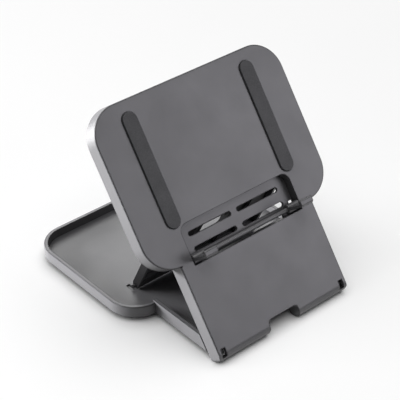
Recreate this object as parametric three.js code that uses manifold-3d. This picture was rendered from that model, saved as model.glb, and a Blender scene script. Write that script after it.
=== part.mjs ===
// Folding desk stand for a small tablet or phone: a tray base with a front tongue, a back panel that hinges on the
// tongue, a strut behind the panel that stands on the tray's floor, and a ledge with two hooks that folds up into the
// panel's pocket. Closed, the panel lies on the tray.
// Millimetres, +Z up, +X to the right of someone facing the stand. The parts are drawn with the origin below the lower
// edge of the panel's front face, and the assembly is then moved to stand over the centre of its footprint.
import * as THREE from "three";
import { mergeVertices } from "three/addons/utils/BufferGeometryUtils.js";
import Module from "manifold-3d";

const wasm = await Module();
wasm.setup();

// Driving dimensions
const TILT = THREE.MathUtils.degToRad(53.3); // panel above the table, stand open
const GAP = 0.3; // clearance between pieces that touch or turn on each other
const FOOT_HEIGHT = 3.6; // table to the underside of the base
const WALL = 2.0; // moulded wall thickness
const PANEL_WIDTH = 130;
const PANEL_HEIGHT = 92; // wide part of the panel, and of the tray under it
const PANEL_CORNER = 18;
const LEG_WIDTH = 95.4; // narrow lower part of the panel, and the tongue of the base
const LEG_LENGTH = 55.9; // lower edge of the panel to the shoulder under its wide part
const PANEL_DEPTH = 9.6;
const TRAY_HEIGHT = 7.2;
const TONGUE_HEIGHT = 8.4;
const TRAY_FRONT = 55.4;
const EDGE = 0.6; // softened outer edges

// Heel: the full-round lower end of the panel
const HEEL_RADIUS = PANEL_DEPTH / 2;
const HEEL_CENTRE = HEEL_RADIUS + 0.65;

// Pocket in the panel with its vent slots
const POCKET_HALF = 39.2;
const POCKET_BOTTOM = 53.2;
const POCKET_TOP = 75.7;
const POCKET_CORNER = 5;
const POCKET_DEPTH = 5.3;
const POCKET_FLOOR = 1.5; // thickness of the pocket's floor and sides
const FLOOR_GAP = { half: 29.3, top: 57.0 }; // open below the pocket's floor, between the hooks
const SLOT = { inner: 2.1, outer: 32.3, width: 2.7, rows: [60.1, 68.8] };
const CORNER_NOTCH = { width: 3.2, bottom: 57.4, top: 59.8 };

// Ledge: a cross bar on two small pins, with an arm and a hook at each end
const LEDGE_HINGE = { s: 56.4, n: -1.6 };
const LEDGE = { inner: 30.3, outer: 38.8, thick: 1.6, reach: 14.6, lip: 1.8, lipTop: 3.3, bar: 1.3, knuckle: 2.6 };
const LEDGE_PIN = { radius: 0.7, inner: 36, outer: 40.6 };

// Cable notch and the two windows at the panel's lower end
const NOTCH = { half: 10.8, height: 8.1, corner: 2 };
const WINDOW = { inner: 42.4, outer: 45.5, bottom: 2.5, top: 7.5 };

// Rubber strips on the panel
const STRIP = { centre: 41, width: 9, bottom: 75.6, top: 141.1, proud: 1.2, seat: 0.9 };

// Hinges
const PIN_RADIUS = 1.25;
const HOLE_RADIUS = PIN_RADIUS + GAP;
const KNUCKLE_RADIUS = 2.6;
const LUG = { inner: 36, outer: 41.1 }; // base lugs of the panel hinge, in X
const BOSS = { inner: 41.5, outer: 45.1, hole: 44.2 }; // panel bosses of the panel hinge
const STRUT_HINGE = { s: 78.5, n: -5.8, inner: 44.4, outer: 49.2, hole: 48.4 };

// Strut
const STRUT_WIDTH = 88;
const STRUT_THICK = 5;
const STRUT_WINDOW = { half: 10.5, top: 26, bottom: 38 }; // opening for a cable, from the hinge down
const STRUT_RIB = 26; // outer pair of stiffening ribs
const STRUT_STUB = { radius: 1.1, length: 1.8, drop: 0.8 }; // side stubs at the foot
const FOOT_RADIUS = 2.4;
const FOOT_LIFT = 0.4; // strut's foot above the tray floor, so that it clears the floor all the way down
const STRUT_FOOT_Y = 77.4;
const SEAT = { gap: 0.2, width: 2.2, front: -0.4, rear: 5.4, depth: 0.8 }; // recesses in the tray beside the foot

// Base
const FLOOR = 2.0;
const RIM = 2.2;
const PAD_RADIUS = 5;
const PAD_SEAT = 0.6;
const PADS = { front: [30, 27], rear: [48, 128] };

const cos = Math.cos(TILT);
const sin = Math.sin(TILT);

// The panel hinge is where a turn through TILT lays the panel's shoulder on the tray's front edge and its open rear
// just above the tongue. Both conditions are linear in the axis position (s along the panel, n out of its face).
function panelHinge() {
  const shift = TRAY_FRONT - LEG_LENGTH;
  const rise = TONGUE_HEIGHT + GAP + PANEL_DEPTH;
  const det = (cos - 1) * (cos - 1) + sin * sin;
  return { s: (shift * (cos - 1) + rise * sin) / det, n: (rise * (cos - 1) - shift * sin) / det };
}
const HINGE = panelHinge();

// Point of the open panel in the object's frame, as [y, z]
const onPanel = (s, n) => [s * cos - n * sin, FOOT_HEIGHT + s * sin + n * cos];
const [HINGE_Y, HINGE_Z] = onPanel(HINGE.s, HINGE.n);
const [STRUT_Y, STRUT_Z] = onPanel(STRUT_HINGE.s, STRUT_HINGE.n);
const STRUT_FOOT_Z = FOOT_HEIGHT + FLOOR + FOOT_LIFT + FOOT_RADIUS;
const STRUT_LENGTH = Math.hypot(STRUT_FOOT_Y - STRUT_Y, STRUT_FOOT_Z - STRUT_Z);
const STRUT_ANGLE = Math.atan2(STRUT_FOOT_Z - STRUT_Z, STRUT_FOOT_Y - STRUT_Y);

// Solids ------------------------------------------------------------------------------------------------------------

function solid(geometry) {
  const bare = new THREE.BufferGeometry();
  bare.setAttribute("position", geometry.attributes.position);
  if (geometry.index) bare.setIndex(geometry.index);
  const merged = mergeVertices(bare, 1e-4);
  const mesh = new wasm.Mesh({
    numProp: 3,
    vertProperties: new Float32Array(merged.attributes.position.array),
    triVerts: new Uint32Array(merged.index.array),
  });
  return new wasm.Manifold(mesh);
}

const join = (first, ...others) => others.reduce((body, other) => body.add(other), first);
const cut = (first, ...others) => others.reduce((body, other) => body.subtract(other), first);

function geometryOf(body) {
  const mesh = body.getMesh();
  const geometry = new THREE.BufferGeometry();
  geometry.setAttribute("position", new THREE.BufferAttribute(new Float32Array(mesh.vertProperties), 3));
  geometry.setIndex(new THREE.BufferAttribute(new Uint32Array(mesh.triVerts), 1));
  geometry.computeVertexNormals();
  return geometry;
}

// Box between two corners
function box([x0, y0, z0], [x1, y1, z1]) {
  const geometry = new THREE.BoxGeometry(x1 - x0, y1 - y0, z1 - z0);
  geometry.translate((x0 + x1) / 2, (y0 + y1) / 2, (z0 + z1) / 2);
  return solid(geometry);
}

// Cylinder along X
function rodX(x0, x1, y, z, radius, segments = 32) {
  const geometry = new THREE.CylinderGeometry(radius, radius, x1 - x0, segments);
  geometry.rotateZ(-Math.PI / 2);
  geometry.translate((x0 + x1) / 2, y, z);
  return solid(geometry);
}

// Cylinder along Z
function rodZ(x, y, z0, z1, radius, segments = 40) {
  const geometry = new THREE.CylinderGeometry(radius, radius, z1 - z0, segments);
  geometry.rotateX(Math.PI / 2);
  geometry.translate(x, y, (z0 + z1) / 2);
  return solid(geometry);
}

// Outline drawn in X and Y, extruded from z0 to z1, with its end edges softened by bevel
function prism(shape, z0, z1, bevel = 0) {
  const geometry = new THREE.ExtrudeGeometry(shape, {
    depth: z1 - z0 - 2 * bevel,
    curveSegments: 14,
    bevelEnabled: bevel > 0,
    bevelThickness: bevel,
    bevelSize: bevel,
    bevelOffset: -bevel,
    bevelSegments: 2,
  });
  geometry.translate(0, 0, z0 + bevel);
  return solid(geometry);
}

// Outline given as [y, z] points, extruded along X from x0 to x1
function slabX(points, x0, x1) {
  const shape = new THREE.Shape(points.map(([y, z]) => new THREE.Vector2(y, z)));
  const geometry = new THREE.ExtrudeGeometry(shape, { depth: x1 - x0, bevelEnabled: false });
  geometry.rotateZ(Math.PI / 2);
  geometry.rotateY(Math.PI / 2);
  geometry.translate(x0, 0, 0);
  return solid(geometry);
}

// Both mirror copies in X of what make(x0, x1) builds on the right
function bothSides(make, x0, x1) {
  return join(make(x0, x1), make(-x1, -x0));
}

// Outlines ----------------------------------------------------------------------------------------------------------

function roundedRect(x0, y0, x1, y1, radius) {
  const shape = new THREE.Shape();
  shape.absarc(x1 - radius, y1 - radius, radius, 0, Math.PI / 2);
  shape.absarc(x0 + radius, y1 - radius, radius, Math.PI / 2, Math.PI);
  shape.absarc(x0 + radius, y0 + radius, radius, Math.PI, Math.PI * 1.5);
  shape.absarc(x1 - radius, y0 + radius, radius, Math.PI * 1.5, Math.PI * 2);
  return shape;
}

// Wide rounded part from y0 to y1 with a narrower tongue down to yEnd, all drawn inset
function keyhole(yEnd, y0, y1, inset, endCorner = 2.5) {
  const half = PANEL_WIDTH / 2 - inset;
  const neck = LEG_WIDTH / 2 - inset;
  const radius = PANEL_CORNER - inset;
  const end = yEnd + inset;
  const corner = Math.max(endCorner - inset, 0.5);
  const shape = new THREE.Shape();
  shape.absarc(half - radius, y1 - inset - radius, radius, 0, Math.PI / 2);
  shape.absarc(-half + radius, y1 - inset - radius, radius, Math.PI / 2, Math.PI);
  shape.absarc(-half + radius, y0 + inset + radius, radius, Math.PI, Math.PI * 1.5);
  shape.lineTo(-neck, y0 + inset);
  shape.absarc(-neck + corner, end + corner, corner, Math.PI, Math.PI * 1.5);
  shape.absarc(neck - corner, end + corner, corner, Math.PI * 1.5, Math.PI * 2);
  shape.lineTo(neck, y0 + inset);
  shape.absarc(half - radius, y0 + inset + radius, radius, Math.PI * 1.5, Math.PI * 2);
  return shape;
}

function stadium(x0, x1, y, width) {
  const radius = width / 2;
  const shape = new THREE.Shape();
  shape.absarc(x1 - radius, y, radius, -Math.PI / 2, Math.PI / 2);
  shape.absarc(x0 + radius, y, radius, Math.PI / 2, Math.PI * 1.5);
  return shape;
}

function uprightStadium(x, y0, y1, width) {
  const radius = width / 2;
  const shape = new THREE.Shape();
  shape.absarc(x, y1 - radius, radius, 0, Math.PI);
  shape.absarc(x, y0 + radius, radius, Math.PI, Math.PI * 2);
  return shape;
}

// Panel, drawn flat: X across, Y up the panel (s), Z out of its front face (n) -----------------------------------------

const BACK = -PANEL_DEPTH;

// What lies outside a full-round end of this radius, for cutting the heel to shape
function outsideHeel(radius, nTop) {
  const block = box([-LEG_WIDTH, -5, -HEEL_RADIUS - 20], [LEG_WIDTH, HEEL_CENTRE, nTop]);
  return cut(block, rodX(-LEG_WIDTH - 1, LEG_WIDTH + 1, HEEL_CENTRE, -HEEL_RADIUS, radius, 64));
}

function panelShell() {
  const end = HEEL_CENTRE - HEEL_RADIUS;
  const outer = prism(keyhole(end, LEG_LENGTH, LEG_LENGTH + PANEL_HEIGHT, 0), BACK, 0, EDGE);
  let cavity = prism(keyhole(end, LEG_LENGTH, LEG_LENGTH + PANEL_HEIGHT, WALL), BACK - 5, -WALL);
  const corner = cut(
    box([-LEG_WIDTH, -5, -HEEL_RADIUS], [LEG_WIDTH, HEEL_CENTRE, 1]),
    rodX(-LEG_WIDTH - 1, LEG_WIDTH + 1, HEEL_CENTRE, -HEEL_RADIUS, HEEL_RADIUS - WALL, 64),
  );
  cavity = cut(cavity, corner);
  return cut(outer, cavity, outsideHeel(HEEL_RADIUS, 1));
}

function pocketOutline(grow, bottom) {
  const half = POCKET_HALF + grow;
  const top = POCKET_TOP + grow;
  const radius = POCKET_CORNER + grow;
  const shape = new THREE.Shape();
  shape.moveTo(half, bottom);
  shape.lineTo(half, top - radius);
  shape.absarc(half - radius, top - radius, radius, 0, Math.PI / 2);
  shape.absarc(-half + radius, top - radius, radius, Math.PI / 2, Math.PI);
  shape.lineTo(-half, bottom);
  return shape;
}

function ventSlots() {
  const through = [-POCKET_DEPTH - POCKET_FLOOR - 1, -POCKET_DEPTH + 1];
  const slots = SLOT.rows.map((row) =>
    bothSides((x0, x1) => prism(stadium(x0, x1, row, SLOT.width), ...through), SLOT.inner, SLOT.outer),
  );
  const notches = bothSides(
    (x0, x1) => box([x0, CORNER_NOTCH.bottom, through[0]], [x1, CORNER_NOTCH.top, through[1]]),
    POCKET_HALF - CORNER_NOTCH.width,
    POCKET_HALF,
  );
  return join(...slots, notches);
}

function pocket(shell) {
  const wallBottom = POCKET_BOTTOM - POCKET_FLOOR;
  const frame = prism(pocketOutline(POCKET_FLOOR, wallBottom), -POCKET_DEPTH - POCKET_FLOOR, -WALL + 0.5);
  const recess = prism(pocketOutline(0, POCKET_BOTTOM), -POCKET_DEPTH, 1);
  const gap = box([-FLOOR_GAP.half, POCKET_BOTTOM, BACK - 1], [FLOOR_GAP.half, FLOOR_GAP.top, 1]);
  const pinHoles = bothSides(
    (x0, x1) => rodX(x0, x1, LEDGE_HINGE.s, LEDGE_HINGE.n, LEDGE_PIN.radius + GAP, 20),
    POCKET_HALF - 1,
    LEDGE_PIN.outer + GAP,
  );
  return cut(join(shell, frame), recess, gap, ventSlots(), pinHoles);
}

function notchOutline(grow) {
  const half = NOTCH.half + grow;
  const top = NOTCH.height + grow;
  const radius = NOTCH.corner + grow;
  const shape = new THREE.Shape();
  shape.moveTo(half + 1.2, -2);
  shape.lineTo(half, 3);
  shape.absarc(half - radius, top - radius, radius, 0, Math.PI / 2);
  shape.absarc(-half + radius, top - radius, radius, Math.PI / 2, Math.PI);
  shape.lineTo(-half, 3);
  shape.lineTo(-half - 1.2, -2);
  return shape;
}

function cableNotch(shell) {
  const cheeks = cut(prism(notchOutline(WALL), BACK + 0.4, -WALL + 0.5), outsideHeel(HEEL_RADIUS, 1));
  const opening = prism(notchOutline(0), BACK - 1, 2);
  return cut(join(shell, cheeks), opening);
}

// Boss of a hinge: a knuckle round the pin, held to the panel's front wall by a block
function hingeBoss(s, n, x0, x1, radius, blockOuter) {
  const knuckle = rodX(x0, x1, s, n, radius, 40);
  const [inner, outer] = x0 > 0 ? [x0, blockOuter] : [-blockOuter, x1];
  const block = box([inner, s - radius, n], [outer, s + radius, -WALL + 0.5]);
  return join(knuckle, block);
}

function panel() {
  let body = cableNotch(pocket(panelShell()));
  const hingeWall = LEG_WIDTH / 2 - WALL + 0.5;
  for (const side of [-1, 1]) {
    const span = (a, b) => (side > 0 ? [a, b] : [-b, -a]);
    body = join(
      body,
      hingeBoss(HINGE.s, HINGE.n, ...span(BOSS.inner, BOSS.outer), KNUCKLE_RADIUS, hingeWall),
      hingeBoss(
        STRUT_HINGE.s, STRUT_HINGE.n, ...span(STRUT_HINGE.inner, STRUT_HINGE.outer), KNUCKLE_RADIUS, STRUT_HINGE.outer,
      ),
    );
    body = cut(
      body,
      rodX(...span(BOSS.inner - 1, BOSS.hole), HINGE.s, HINGE.n, HOLE_RADIUS),
      rodX(...span(STRUT_HINGE.inner - 1, STRUT_HINGE.hole), STRUT_HINGE.s, STRUT_HINGE.n, HOLE_RADIUS),
      box([span(WINDOW.inner, WINDOW.outer)[0], WINDOW.bottom, -WALL - 1.2],
        [span(WINDOW.inner, WINDOW.outer)[1], WINDOW.top, 1]),
      stripSeat(side),
    );
  }
  return body;
}

// Rubber strips -----------------------------------------------------------------------------------------------------

const stripOutline = (side, grow) =>
  uprightStadium(side * STRIP.centre, STRIP.bottom - grow, STRIP.top + grow, STRIP.width + 2 * grow);

function stripSeat(side) {
  return prism(stripOutline(side, GAP), -STRIP.seat, 1);
}

function rubberStrip(side) {
  return prism(stripOutline(side, 0), -STRIP.seat + GAP, STRIP.proud, 0.25);
}

// Ledge, drawn in its open place on the panel: a round cross bar, and at each end an arm with a hook ------------------

function ledge() {
  const { s: axisS, n: axisN } = LEDGE_HINGE;
  const half = LEDGE.thick / 2;
  const tip = axisN + LEDGE.reach;
  const profile = [
    [axisS - half, axisN],
    [axisS + half, axisN],
    [axisS + half, tip - LEDGE.lip],
    [axisS + LEDGE.lipTop, tip - LEDGE.lip],
    [axisS + LEDGE.lipTop, tip - 0.7],
    [axisS + LEDGE.lipTop - 0.7, tip],
    [axisS - half + 1.1, tip],
    [axisS - half, tip - 1.1],
  ];
  const arm = (x0, x1) => join(slabX(profile, x0, x1), rodX(x0, x1, axisS, axisN, LEDGE.knuckle, 28));
  const bar = rodX(-LEDGE.inner - 1, LEDGE.inner + 1, axisS, axisN, LEDGE.bar, 28);
  const body = join(bar, bothSides(arm, LEDGE.inner, LEDGE.outer));
  const hole = (x0, x1) => rodX(x0, x1, axisS, axisN, LEDGE_PIN.radius + GAP, 20);
  return cut(body, bothSides(hole, LEDGE_PIN.inner - GAP, LEDGE.outer + 1));
}

// Strut, drawn flat: X across, Y from its hinge to its foot, Z through its thickness --------------------------------------

function strut() {
  const half = STRUT_WIDTH / 2;
  const face = STRUT_THICK / 2;
  const web = box([-half, 4, face - WALL], [half, STRUT_LENGTH, face]);
  const flange = (x0, x1) => join(rodX(x0, x1, 0, 0, face, 40), box([x0, 0, -face], [x1, STRUT_LENGTH, face]));
  const rib = (x0, x1) => box([x0, 4, -face + 0.8], [x1, STRUT_LENGTH, face - WALL + 0.5]);
  const foot = join(
    rodX(-half, half, STRUT_LENGTH, 0, FOOT_RADIUS, 40),
    box([-half, STRUT_LENGTH - 6, -FOOT_RADIUS], [half, STRUT_LENGTH, FOOT_RADIUS]),
  );
  const stub = (x0, x1) => rodX(x0, x1, STRUT_LENGTH + STRUT_STUB.drop, 0, STRUT_STUB.radius, 20);
  const body = join(
    web,
    foot,
    bothSides(flange, half - WALL, half),
    bothSides(rib, STRUT_WINDOW.half, STRUT_WINDOW.half + 1.6),
    bothSides(rib, STRUT_RIB, STRUT_RIB + 1.6),
    bothSides(stub, half - 1, half + STRUT_STUB.length),
  );
  const window = prism(
    roundedRect(-STRUT_WINDOW.half, STRUT_WINDOW.top, STRUT_WINDOW.half, STRUT_WINDOW.bottom, 3), -5, 5,
  );
  return cut(body, window, rodX(-half - 1, half + 1, 0, 0, HOLE_RADIUS));
}

// Base: tray and tongue in one moulding, drawn in place --------------------------------------------------------------

const UNDER = FOOT_HEIGHT;
const endFace = (offset, z) => onPanel(0, BACK - offset)[0] + (z - onPanel(0, BACK - offset)[1]) * (cos / sin);

// Everything in front of the plane that lies offset behind the open panel's rear
function inFrontOfPanel(offset) {
  const low = UNDER - 1;
  const high = UNDER + 30;
  return slabX([[-20, low], [endFace(offset, low), low], [endFace(offset, high), high], [-20, high]], -80, 80);
}

function baseShell() {
  const back = TRAY_FRONT + PANEL_HEIGHT;
  const tongueTop = UNDER + TONGUE_HEIGHT;
  const trayTop = UNDER + TRAY_HEIGHT;
  const tray = prism(keyhole(0, TRAY_FRONT, back, 0), UNDER, trayTop, EDGE);
  const tongue = box([-LEG_WIDTH / 2, 0, UNDER + EDGE], [LEG_WIDTH / 2, TRAY_FRONT + 4, tongueTop]);
  const inside = prism(keyhole(0, TRAY_FRONT, back, RIM), UNDER + FLOOR, tongueTop + 5);
  const overTray = cut(
    box([-80, TRAY_FRONT, trayTop], [80, back + 5, tongueTop + 5]),
    box([-LEG_WIDTH / 2, TRAY_FRONT - 1, trayTop - 1], [LEG_WIDTH / 2, TRAY_FRONT + 4, tongueTop + 6]),
  );
  const shell = cut(join(tray, tongue), inside, overTray, inFrontOfPanel(0.4));
  const endWall = cut(
    box([-LEG_WIDTH / 2 + 1, 5, UNDER + 0.6], [LEG_WIDTH / 2 - 1, 24, UNDER + 5]),
    inFrontOfPanel(0.4),
    cut(box([-80, 0, UNDER - 2], [80, 60, UNDER + 30]), inFrontOfPanel(0.4 + WALL)),
  );
  return join(shell, endWall);
}

function hingeLug(x0, x1) {
  const r = KNUCKLE_RADIUS;
  return join(
    rodX(x0, x1, HINGE_Y, HINGE_Z, r, 40),
    box([x0, HINGE_Y - r, UNDER + 1], [x1, HINGE_Y + r, HINGE_Z]),
  );
}

// Stop finger: reaches into the heel to just behind the window, and meets the front wall when the stand is open
function stopFinger(x0, x1) {
  const corners = [[4.5, -WALL - 0.5], [8.2, -WALL - 0.5], [13.5, BACK - 1.6], [9, BACK - 1.6]];
  return slabX(corners.map(([s, n]) => onPanel(s, n)), x0, x1);
}

// Small recesses in the tray floor at the two ends of the strut's foot
function strutSeats() {
  const floorTop = UNDER + FLOOR;
  const seat = (x0, x1) =>
    box([x0, STRUT_FOOT_Y - SEAT.front, floorTop - SEAT.depth], [x1, STRUT_FOOT_Y + SEAT.rear, floorTop + 1]);
  const inner = STRUT_WIDTH / 2 + SEAT.gap;
  return bothSides(seat, inner, inner + SEAT.width);
}

function padSpots() {
  return [PADS.front, PADS.rear].flatMap(([x, y]) => [[-x, y], [x, y]]);
}

function base() {
  const lugs = bothSides(hingeLug, LUG.inner, LUG.outer);
  const fingers = bothSides(stopFinger, WINDOW.inner + 0.1, WINDOW.outer - 0.3);
  const body = join(baseShell(), lugs, fingers);
  const seats = padSpots().map(([x, y]) => rodZ(x, y, UNDER - 1, UNDER + PAD_SEAT, PAD_RADIUS + GAP));
  return cut(body, strutSeats(), rodX(-60, 60, HINGE_Y, HINGE_Z, HOLE_RADIUS), ...seats);
}

// Assembly ----------------------------------------------------------------------------------------------------------

const PLASTIC = { color: 0x3a3a3d, roughness: 0.35, metalness: 0 };
const RUBBER = { color: 0x1d1d1f, roughness: 0.85, metalness: 0 };
const STEEL = { color: 0x9a9da1, roughness: 0.3, metalness: 1 };

function node(name, body, material) {
  const mesh = new THREE.Mesh(geometryOf(body), new THREE.MeshStandardMaterial(material));
  mesh.name = name;
  return mesh;
}

const stand = new THREE.Group();
stand.name = "tablet_stand";

const onTable = new THREE.Group();
onTable.name = "base_parts";
onTable.add(node("base_tray", base(), PLASTIC));
padSpots().forEach(([x, y]) => {
  const name = `rubber_foot_${y < TRAY_FRONT ? "front" : "rear"}_${x < 0 ? "left" : "right"}`;
  onTable.add(node(name, rodZ(x, y, 0, UNDER + PAD_SEAT - GAP, PAD_RADIUS), RUBBER));
});

const panelParts = new THREE.Group();
panelParts.name = "panel_parts";
panelParts.position.set(0, 0, FOOT_HEIGHT);
panelParts.rotation.x = TILT;
panelParts.add(node("back_panel", panel(), PLASTIC));

const ledgeParts = new THREE.Group();
ledgeParts.name = "ledge_parts";
ledgeParts.add(node("folding_ledge", ledge(), PLASTIC));
panelParts.add(ledgeParts);

const strutParts = new THREE.Group();
strutParts.name = "strut_parts";
strutParts.position.set(0, STRUT_Y, STRUT_Z);
strutParts.rotation.x = STRUT_ANGLE;
strutParts.add(node("support_strut", strut(), PLASTIC));

for (const [label, side] of [["left", -1], ["right", 1]]) {
  const span = (a, b) => (side > 0 ? [a, b] : [-b, -a]);
  panelParts.add(node(`rubber_strip_${label}`, rubberStrip(side), RUBBER));
  const hingeSpan = span(LUG.inner + GAP, BOSS.hole - GAP);
  onTable.add(node(`panel_hinge_pin_${label}`, rodX(...hingeSpan, HINGE_Y, HINGE_Z, PIN_RADIUS), STEEL));
  const strutSpan = span(STRUT_WIDTH / 2 - WALL - GAP, STRUT_HINGE.hole - GAP);
  const strutPin = rodX(...strutSpan, STRUT_HINGE.s, STRUT_HINGE.n, PIN_RADIUS);
  panelParts.add(node(`strut_hinge_pin_${label}`, strutPin, STEEL));
  const ledgeSpan = span(LEDGE_PIN.inner, LEDGE_PIN.outer);
  const ledgePin = rodX(...ledgeSpan, LEDGE_HINGE.s, LEDGE_HINGE.n, LEDGE_PIN.radius, 20);
  panelParts.add(node(`ledge_pin_${label}`, ledgePin, STEEL));
}

const heelFront = onPanel(HEEL_CENTRE, -HEEL_RADIUS)[0] - HEEL_RADIUS;
stand.position.y = -(heelFront + TRAY_FRONT + PANEL_HEIGHT) / 2;
stand.add(onTable, panelParts, strutParts);
export default stand;
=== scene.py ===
import math

import bpy
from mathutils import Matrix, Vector


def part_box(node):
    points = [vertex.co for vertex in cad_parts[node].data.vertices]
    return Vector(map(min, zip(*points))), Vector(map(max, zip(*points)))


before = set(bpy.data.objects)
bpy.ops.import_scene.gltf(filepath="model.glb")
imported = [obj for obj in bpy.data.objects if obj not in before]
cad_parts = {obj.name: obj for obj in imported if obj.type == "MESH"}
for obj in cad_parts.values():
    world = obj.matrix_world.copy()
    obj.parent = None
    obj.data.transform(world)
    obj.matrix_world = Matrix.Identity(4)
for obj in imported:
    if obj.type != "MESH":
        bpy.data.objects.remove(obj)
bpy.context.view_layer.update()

MM = 0.001

# Materials
EDGE_SHADE_REACH = 0.7 * MM    # reach of the painted shade, a thin dark line along the plastic's edges
RUBBER_EDGE = 0.3 * MM  # softening of the rubber's edges
GRAIN_SCALE = 2600.0    # noise scale of the fine surface grain

# Stage
TABLE_SIZE = 8.0  # in metres, so wide that its far edge lies near the horizon in a low view
ROOM_LIGHT = 0.1  # strength of the world as a light
SIDE_BOX = {"location": (-0.50, 0.60, 0.13), "target": (0, 0, 0.06), "width": 0.45, "height": 0.18}

# Camera
CAMERA_AZIMUTH = math.radians(-41.0)
CAMERA_ELEVATION = math.radians(35.3)
CAMERA_DISTANCE = 0.7562
CAMERA_LENS = 125.2  # in millimetres, as is the sensor's width
SENSOR = 36.0

# The camera's target is measured from the panel's foot, and that from the back of the tray.
BASE_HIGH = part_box("base_tray")[1]
FOOT_HEIGHT = 3.6 * MM         # the base's underside above the table
TRAY_DEPTH = 92 * MM
TRAY_BEHIND_PANEL = 55.4 * MM  # the tray's front edge behind the panel's foot
TARGET_ACROSS = -10.3 * MM
TARGET_BEHIND_PANEL = 61.3 * MM
TARGET_ABOVE_BASE = 55.7 * MM


# Node helpers -------------------------------------------------------------------------------------

def new_material(name):
    """An empty node material whose shader and output are joined, with its nodes, links and shader."""
    material = bpy.data.materials.new(name)
    material.use_nodes = True
    nodes = material.node_tree.nodes
    links = material.node_tree.links
    nodes.clear()
    output = nodes.new("ShaderNodeOutputMaterial")
    shader = nodes.new("ShaderNodeBsdfPrincipled")
    links.new(shader.outputs["BSDF"], output.inputs["Surface"])
    return material, nodes, links, shader


def object_coords(nodes):
    return nodes.new("ShaderNodeTexCoord").outputs["Object"]


def noise(nodes, links, coords, scale, detail=3.0, roughness=0.55):
    texture = nodes.new("ShaderNodeTexNoise")
    texture.inputs["Scale"].default_value = scale
    texture.inputs["Detail"].default_value = detail
    texture.inputs["Roughness"].default_value = roughness
    links.new(coords, texture.inputs["Vector"])
    return texture.outputs["Fac"]


def ramp(nodes, links, value, stops):
    """Maps a 0 to 1 value through (position, grey or colour) stops."""
    node = nodes.new("ShaderNodeValToRGB")
    links.new(value, node.inputs["Fac"])
    elements = node.color_ramp.elements
    while len(elements) < len(stops):
        elements.new(0.5)
    for element, (position, colour) in zip(elements, stops):
        element.position = position
        element.color = (*colour, 1.0) if isinstance(colour, tuple) else (colour, colour, colour, 1.0)
    return node.outputs["Color"]


def math_node(nodes, links, operation, first, second):
    node = nodes.new("ShaderNodeMath")
    node.operation = operation
    for socket, value in zip(node.inputs, (first, second)):
        if isinstance(value, (int, float)):
            socket.default_value = value
        else:
            links.new(value, socket)
    return node.outputs[0]


def mix_colour(nodes, links, factor, first, second):
    node = nodes.new("ShaderNodeMix")
    node.data_type = "RGBA"
    links.new(factor, node.inputs["Factor"])
    for socket, value in ((node.inputs["A"], first), (node.inputs["B"], second)):
        if isinstance(value, tuple):
            socket.default_value = (*value, 1.0)
        else:
            links.new(value, socket)
    return node.outputs["Result"]


def scaled(colour, factor):
    return tuple(channel * factor for channel in colour)


def softened_normal(nodes, radius):
    """The surface's normal, turning gradually over sharp edges."""
    bevel = nodes.new("ShaderNodeBevel")
    bevel.samples = 4
    bevel.inputs["Radius"].default_value = radius
    return bevel.outputs["Normal"]


def edge_mask(nodes, links, soft_normal):
    """1 along sharp edges and 0 on flat faces: how far the softened normal leans away from the true one."""
    geometry = nodes.new("ShaderNodeNewGeometry")
    dot = nodes.new("ShaderNodeVectorMath")
    dot.operation = "DOT_PRODUCT"
    links.new(soft_normal, dot.inputs[0])
    links.new(geometry.outputs["Normal"], dot.inputs[1])
    lean = math_node(nodes, links, "SUBTRACT", 1.0, dot.outputs["Value"])
    return ramp(nodes, links, lean, [(0.006, 0.0), (0.06, 1.0)])


def add_bump(nodes, links, shader, height, distance, strength, normal=None):
    bump = nodes.new("ShaderNodeBump")
    bump.inputs["Strength"].default_value = strength
    bump.inputs["Distance"].default_value = distance
    links.new(height, bump.inputs["Height"])
    if normal is not None:
        links.new(normal, bump.inputs["Normal"])
    links.new(bump.outputs["Normal"], shader.inputs["Normal"])


# Materials ----------------------------------------------------------------------------------------

def moulded_plastic(name, dark, light):
    """Moulded plastic: fine grain, faint flow variation and a thin line of painted shade along the edges.
    """
    material, nodes, links, shader = new_material(name)
    coords = object_coords(nodes)
    edges = edge_mask(nodes, links, softened_normal(nodes, EDGE_SHADE_REACH))
    flow = noise(nodes, links, coords, 28.0, 4.0, 0.5)
    body = mix_colour(nodes, links, ramp(nodes, links, flow, [(0.35, 0.0), (0.7, 1.0)]), dark, light)
    # Painted shade: the base colour darkens to a thin dark line along the sharp edges.
    links.new(mix_colour(nodes, links, edges, body, scaled(dark, 0.2)), shader.inputs["Base Color"])
    smudge = noise(nodes, links, coords, 45.0, 5.0, 0.6)
    rough = ramp(nodes, links, smudge, [(0.3, 0.30), (0.75, 0.40)])
    links.new(mix_colour(nodes, links, edges, rough, (0.7, 0.7, 0.7)), shader.inputs["Roughness"])
    links.new(ramp(nodes, links, edges, [(0.0, 0.5), (1.0, 0.08)]), shader.inputs["Specular IOR Level"])
    grain = noise(nodes, links, coords, GRAIN_SCALE, 3.0, 0.7)
    add_bump(nodes, links, shader, grain, distance=0.05 * MM, strength=0.8)
    shader.inputs["IOR"].default_value = 1.53
    return material


def rubber(name, dark, light):
    """Matte rubber: soft speckle, a fine leathery surface and slightly paler edges."""
    material, nodes, links, shader = new_material(name)
    coords = object_coords(nodes)
    soft_normal = softened_normal(nodes, RUBBER_EDGE)
    edges = edge_mask(nodes, links, soft_normal)
    speckle = noise(nodes, links, coords, 1400.0, 3.0, 0.7)
    body = mix_colour(nodes, links, ramp(nodes, links, speckle, [(0.4, 0.0), (0.65, 1.0)]), dark, light)
    links.new(mix_colour(nodes, links, edges, body, scaled(light, 1.5)), shader.inputs["Base Color"])
    rough = ramp(nodes, links, noise(nodes, links, coords, 80.0), [(0.3, 0.62), (0.7, 0.8)])
    links.new(rough, shader.inputs["Roughness"])
    grain = noise(nodes, links, coords, GRAIN_SCALE, 3.0, 0.65)
    add_bump(nodes, links, shader, grain, distance=0.03 * MM, strength=0.6, normal=soft_normal)
    return material


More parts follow.
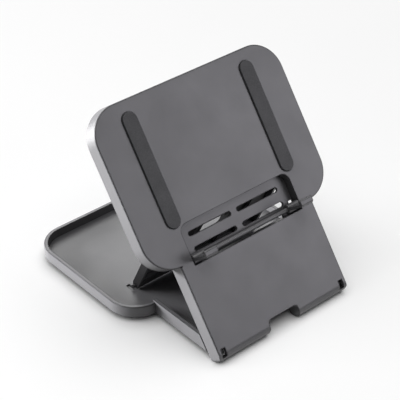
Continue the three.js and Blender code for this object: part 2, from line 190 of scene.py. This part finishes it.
def ground_steel(name):
    """Ground steel pin: fine rings round the pin and slight tarnish."""
    material, nodes, links, shader = new_material(name)
    coords = object_coords(nodes)
    tarnish = noise(nodes, links, coords, 300.0, 4.0)
    colour = ramp(nodes, links, tarnish, [(0.3, (0.30, 0.30, 0.31)), (0.75, (0.52, 0.53, 0.54))])
    links.new(colour, shader.inputs["Base Color"])
    shader.inputs["Metallic"].default_value = 1.0
    rings = nodes.new("ShaderNodeTexWave")
    rings.bands_direction = "X"
    rings.inputs["Scale"].default_value = 3000.0
    rings.inputs["Distortion"].default_value = 1.5
    links.new(coords, rings.inputs["Vector"])
    links.new(ramp(nodes, links, tarnish, [(0.2, 0.25), (0.8, 0.4)]), shader.inputs["Roughness"])
    add_bump(nodes, links, shader, rings.outputs["Fac"], distance=0.01 * MM, strength=0.3)
    return material


def table_paper(name):
    """Smooth pale table."""
    material, nodes, links, shader = new_material(name)
    tone = noise(nodes, links, object_coords(nodes), 3.0, 2.0)
    links.new(ramp(nodes, links, tone, [(0.3, 0.90), (0.7, 0.92)]), shader.inputs["Base Color"])
    shader.inputs["Roughness"].default_value = 0.7
    shader.inputs["Specular IOR Level"].default_value = 0.15
    return material


def dress(node, material):
    """Gives a CAD node its material."""
    mesh_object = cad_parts[node]
    for slot in mesh_object.material_slots:
        slot.material = material
    if not mesh_object.material_slots:
        mesh_object.data.materials.append(material)


def dress_all():
    plastic = moulded_plastic("black_plastic", dark=(0.045, 0.0445, 0.047), light=(0.055, 0.0545, 0.057))
    strip = rubber("strip_rubber", dark=(0.027, 0.027, 0.029), light=(0.038, 0.038, 0.040))
    steel = ground_steel("pin_steel")
    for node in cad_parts:
        if "rubber" in node:
            dress(node, strip)
        elif "pin" in node:
            dress(node, steel)
        else:
            dress(node, plastic)


# Stage --------------------------------------------------------------------------------------------

def table_top():
    mesh = bpy.data.meshes.new("table")
    half = TABLE_SIZE / 2
    corners = [(-half, -half, 0), (half, -half, 0), (half, half, 0), (-half, half, 0)]
    mesh.from_pydata(corners, [], [(0, 1, 2, 3)])
    table = bpy.data.objects.new("table", mesh)
    bpy.context.collection.objects.link(table)
    mesh.materials.append(table_paper("table_paper"))
    return table


def room():
    """The world: dim as a light, but as pale as the table where it is seen directly."""
    world = bpy.data.worlds.new("studio")
    bpy.context.scene.world = world
    world.use_nodes = True
    nodes = world.node_tree.nodes
    links = world.node_tree.links
    seen = nodes.new("ShaderNodeLightPath").outputs["Is Camera Ray"]
    strength = math_node(nodes, links, "MAXIMUM", seen, ROOM_LIGHT)
    links.new(strength, nodes["Background"].inputs["Strength"])
    nodes["Background"].inputs["Color"].default_value = (0.96, 0.96, 0.96, 1.0)


def aim(thing, target):
    direction = Vector(target) - thing.location
    thing.rotation_euler = direction.to_track_quat("-Z", "Y").to_euler()


def soft_light(name, location, target, width, height, power):
    data = bpy.data.lights.new(name, "AREA")
    data.shape = "RECTANGLE"
    data.size = width
    data.size_y = height
    data.energy = power
    light = bpy.data.objects.new(name, data)
    light.location = location
    bpy.context.collection.objects.link(light)
    aim(light, target)
    return light


def overhead_light(strength):
    """Wide soft light straight down, the same all over the table."""
    data = bpy.data.lights.new("overhead", "SUN")
    data.energy = strength
    data.angle = math.radians(80)
    bpy.context.collection.objects.link(bpy.data.objects.new("overhead", data))


def keep_off(light, things):
    """Links the light so that it doesn't fall on these things."""
    spared = bpy.data.collections.new(light.name + "_spared")
    for thing in things:
        spared.objects.link(thing)
    for entry in spared.collection_objects:
        entry.light_linking.link_state = "EXCLUDE"
    light.light_linking.receiver_collection = spared


def studio(table):
    """The overhead light and the left box alone light the table: the others would leave long shadows."""
    overhead_light(2.75)
    soft_light("left_box", (-0.90, 0.50, 0.55), (0, 0, 0.03), width=0.8, height=0.5, power=3.5)

    # A low pair behind and to the left brightens the left sides and leaves the panel's face dark. One gives
    # the diffuse light. The other gives the reflections, and is kept off the tray below, because its floor
    # would glare, seen from the right.
    side = soft_light("side_box", **SIDE_BOX, power=60)
    side.visible_glossy = False
    glow = soft_light("side_glow", **SIDE_BOX, power=26)
    glow.visible_diffuse = False

    # The tray's floor mirrors the rear box, and the panel's face the slightly violet front box.
    rear = soft_light("rear_box", (0.60, 0.74, 0.72), (0, 0, 0.02), width=0.8, height=0.6, power=5.2)
    front = soft_light("front_box", (0.68, -0.78, 0.52), (0, 0, 0.05), width=0.7, height=0.7, power=5.2)
    front.data.color = (0.95, 0.93, 1.0)

    # The strut and the ledge get neither of the low pair, so they stay dark.
    shaded = [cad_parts[node] for node in ("support_strut", "folding_ledge")]
    keep_off(side, [table, *shaded])
    keep_off(glow, [table, *shaded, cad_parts["base_tray"]])
    keep_off(rear, [table])
    keep_off(front, [table])


# Camera -------------------------------------------------------------------------------------------

def photo_camera():
    back = Vector((
        math.sin(CAMERA_AZIMUTH) * math.cos(CAMERA_ELEVATION),
        -math.cos(CAMERA_AZIMUTH) * math.cos(CAMERA_ELEVATION),
        math.sin(CAMERA_ELEVATION),
    ))
    tray_front = BASE_HIGH[1] - TRAY_DEPTH
    panel_foot = tray_front - TRAY_BEHIND_PANEL
    target = Vector((TARGET_ACROSS, panel_foot + TARGET_BEHIND_PANEL, FOOT_HEIGHT + TARGET_ABOVE_BASE))
    data = bpy.data.cameras.new("camera")
    data.lens = CAMERA_LENS
    data.sensor_width = SENSOR
    data.clip_start = 0.01
    camera = bpy.data.objects.new("camera", data)
    camera.location = target + back * CAMERA_DISTANCE
    bpy.context.collection.objects.link(camera)
    aim(camera, target)
    bpy.context.scene.camera = camera


dress_all()
room()
studio(table_top())
photo_camera()
bpy.context.scene.view_settings.view_transform = "Standard"
